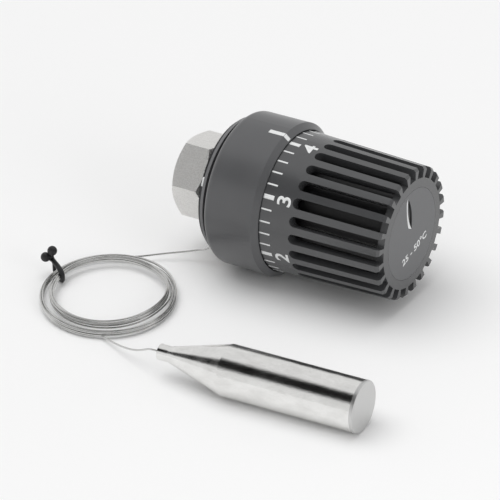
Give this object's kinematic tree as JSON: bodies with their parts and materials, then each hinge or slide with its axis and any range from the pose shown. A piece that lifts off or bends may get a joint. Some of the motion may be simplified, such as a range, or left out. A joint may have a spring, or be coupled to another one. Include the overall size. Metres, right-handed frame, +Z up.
{
  "type": "thermostat head with remote sensor",
  "caption": "Radiator thermostat head with a ribbed dial, union nut and a remote sensor bulb on a coiled capillary.",
  "frame": {"origin": "on the surface the head lies on, under the middle of the head between the union nut's mouth and the dial's end face", "axes": "+X along the head's axis from the union nut to the dial's end face, +Z up, the sensor and coil towards -Y"},
  "size_m": [0.1754, 0.1423, 0.0653],
  "materials": {
    "nickel": "satin nickel plate on brass",
    "black_plastic": "black moulded plastic",
    "anthracite_plastic": "anthracite moulded plastic, fine satin grain",
    "polished_steel": "polished stainless steel",
    "brass": "turned brass",
    "black_rubber": "black rubber",
    "pale_plastic": "natural moulded plastic",
    "spring_steel": "bright spring steel",
    "capillary_metal": "drawn bright tube"
  },
  "bodies": {
    "root": {"neck": "black_plastic", "nut_snap_ring": "spring_steel", "collar": "anthracite_plastic", "dial_hold_ring": "spring_steel", "guide_sleeve": "pale_plastic", "ring_nut": "brass", "guide_bush": "brass", "capillary_gland": "black_plastic", "capillary_inner": "capillary_metal", "capillary_head_lead": "capillary_metal", "capillary_coil": "capillary_metal", "capillary_sensor_lead": "capillary_metal", "coil_tie": "black_rubber", "sensor_shell": "polished_steel", "sensor_end_cap": "polished_steel"},
    "nut": {"union_nut": "nickel"},
    "low_marker": {"low_marker_ring": "black_plastic"},
    "high_marker": {"high_marker_ring": "anthracite_plastic"},
    "dial": {"dial_knob": "anthracite_plastic", "dial_cap": "anthracite_plastic"},
    "capsule": {"capsule_carrier": "pale_plastic", "capsule_can": "brass", "capsule_cover": "brass", "capsule_clip": "spring_steel", "bellows": "brass", "return_spring": "spring_steel"},
    "follower": {"bellows_end_plate": "brass", "overtravel_cup": "brass", "overtravel_spring": "spring_steel"},
    "pin": {"thrust_pin": "spring_steel"}
  },
  "joints": [
    {"name": "nut_turn", "type": "hinge", "parent": "root", "child": "nut", "pos_m": [-0.0447, 0, 0.03265], "axis": [1, 0, 0], "continuous": true},
    {"name": "low_marker_turn", "type": "hinge", "parent": "root", "child": "low_marker", "pos_m": [-0.0317, 0, 0.03265], "axis": [1, 0, 0], "continuous": true},
    {"name": "high_marker_turn", "type": "hinge", "parent": "root", "child": "high_marker", "pos_m": [-0.0302, 0, 0.03265], "axis": [1, 0, 0], "continuous": true},
    {"name": "dial_turn", "type": "hinge", "parent": "root", "child": "dial", "pos_m": [0.0123, 0, 0.03265], "axis": [1, 0, 0], "range_deg": [-150, 150]},
    {"name": "capsule_travel", "type": "slide", "parent": "root", "child": "capsule", "axis": [1, 0, 0], "range_m": [-0.0017, 0.0017], "deforming": ["capillary_inner"]},
    {"name": "bellows_stroke", "type": "slide", "parent": "capsule", "child": "follower", "axis": [1, 0, 0], "range_m": [-0.003, 0.0015], "stiffness_N_per_m": 2500, "deforming": ["bellows", "return_spring"]},
    {"name": "overtravel", "type": "slide", "parent": "follower", "child": "pin", "axis": [1, 0, 0], "range_m": [0, 0.003], "stiffness_N_per_m": 4000, "springref_m": -0.002, "deforming": ["overtravel_spring"]}
  ],
  "couplings": [
    {"joint": "capsule_travel", "follows": "dial_turn", "m_per_rad": 0.00063662}
  ]
}
